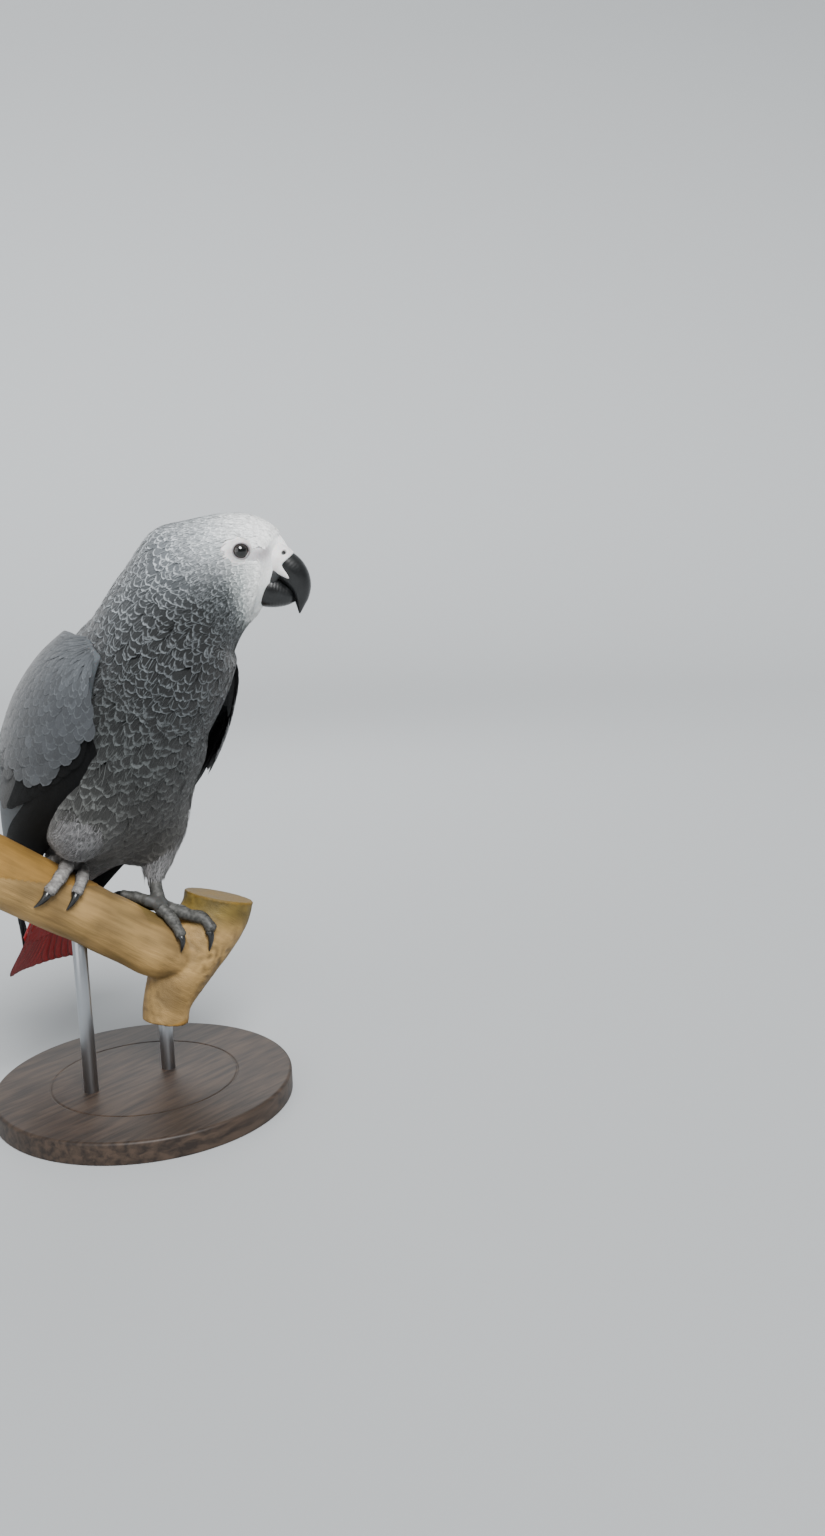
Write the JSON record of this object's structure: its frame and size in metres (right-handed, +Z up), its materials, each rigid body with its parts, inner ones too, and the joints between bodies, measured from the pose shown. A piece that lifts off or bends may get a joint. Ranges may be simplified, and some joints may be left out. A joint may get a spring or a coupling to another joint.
{
  "type": "grey parrot",
  "caption": "Grey parrot with a pale face, scalloped neck, folded wings and red tail, gripping a short cut branch on a plain two-rod display stand.",
  "frame": {"origin": "centre of the underside of the stand's round base", "axes": "+Z up, the bird's breast faces -Y, its left side is +X; its head is turned to its left"},
  "size_m": [0.2029, 0.2247, 0.3696],
  "materials": {
    "white_feather": "soft short pale feathers",
    "grey_feather": "grey contour feathers with paler fringes",
    "wing_feather": "smooth ash-grey coverts and flight feathers",
    "black_quill": "black primary quills",
    "red_feather": "scarlet tail feathers",
    "black_horn": "polished black horn",
    "eye": "wet dark eye",
    "scaled_skin": "grey scaled skin",
    "bare_wood": "debarked branch, dry and worn",
    "stand_wood": "dark stained satin wood",
    "stand_steel": "brushed rod"
  },
  "bodies": {
    "root": {"beak_lower": "black_horn", "beak_upper": "black_horn", "claw_back_inner_left": "black_horn", "claw_back_inner_right": "black_horn", "claw_back_outer_left": "black_horn", "claw_back_outer_right": "black_horn", "claw_front_inner_left": "black_horn", "claw_front_inner_right": "black_horn", "claw_front_outer_left": "black_horn", "claw_front_outer_right": "black_horn", "eye_left": "eye", "eye_right": "eye", "head": "white_feather", "neck": "grey_feather", "perch": "bare_wood", "primaries_left": "black_quill", "primaries_right": "black_quill", "shank_left": "scaled_skin", "shank_right": "scaled_skin", "stand_base": "stand_wood", "stand_rod_1": "stand_steel", "stand_rod_2": "stand_steel", "tail": "red_feather", "thigh_left": "grey_feather", "thigh_right": "grey_feather", "toe_back_inner_left": "scaled_skin", "toe_back_inner_right": "scaled_skin", "toe_back_outer_left": "scaled_skin", "toe_back_outer_right": "scaled_skin", "toe_front_inner_left": "scaled_skin", "toe_front_inner_right": "scaled_skin", "toe_front_outer_left": "scaled_skin", "toe_front_outer_right": "scaled_skin", "trunk": "grey_feather", "wing_left": "wing_feather", "wing_right": "wing_feather"}
  },
  "joints": []
}
